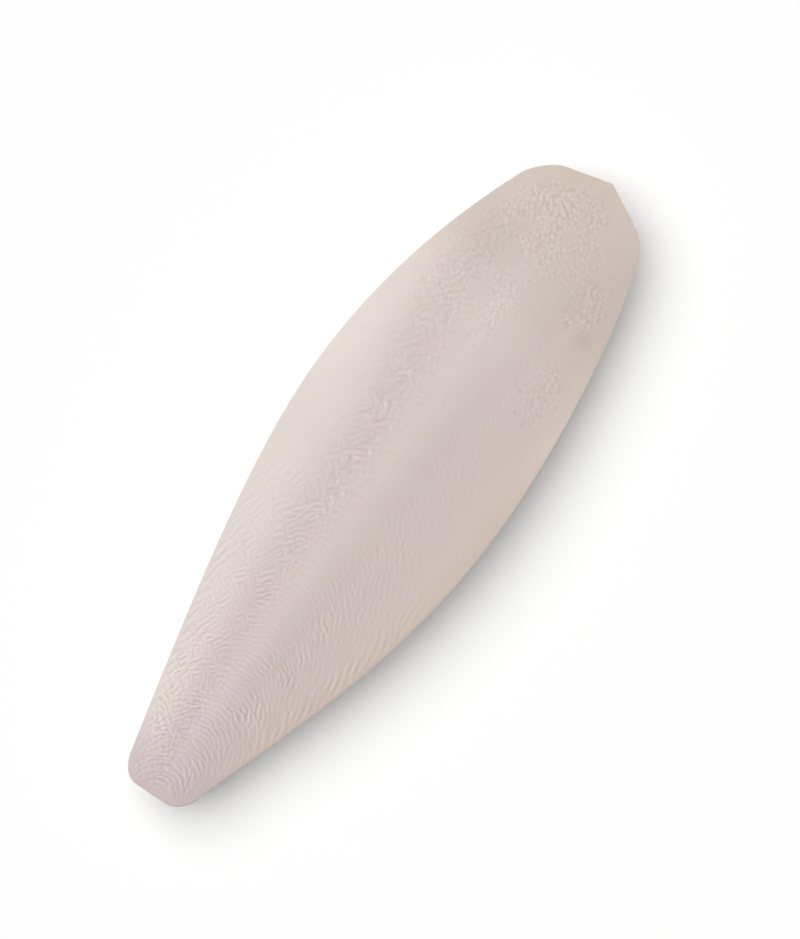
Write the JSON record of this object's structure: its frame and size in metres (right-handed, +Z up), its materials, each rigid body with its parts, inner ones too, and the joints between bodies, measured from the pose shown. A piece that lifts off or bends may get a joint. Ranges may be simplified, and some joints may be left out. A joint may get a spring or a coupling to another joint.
{
  "type": "cuttlebone",
  "caption": "Long oval cuttlebone with a low domed back, a thin rim, a swollen underside, a broad blunt nose and a narrow cut tail.",
  "frame": {"origin": "under the middle of the shell's box, on the surface it rests on", "axes": "+X from the cut tail to the broad nose, +Y to the shell's left, +Z up through its back"},
  "size_m": [0.15, 0.0486, 0.0162],
  "materials": {
    "chalky_shell": "matte, finely wrinkled aragonite, pinkish cream"
  },
  "bodies": {
    "root": {"cuttlebone": "chalky_shell"}
  },
  "joints": []
}
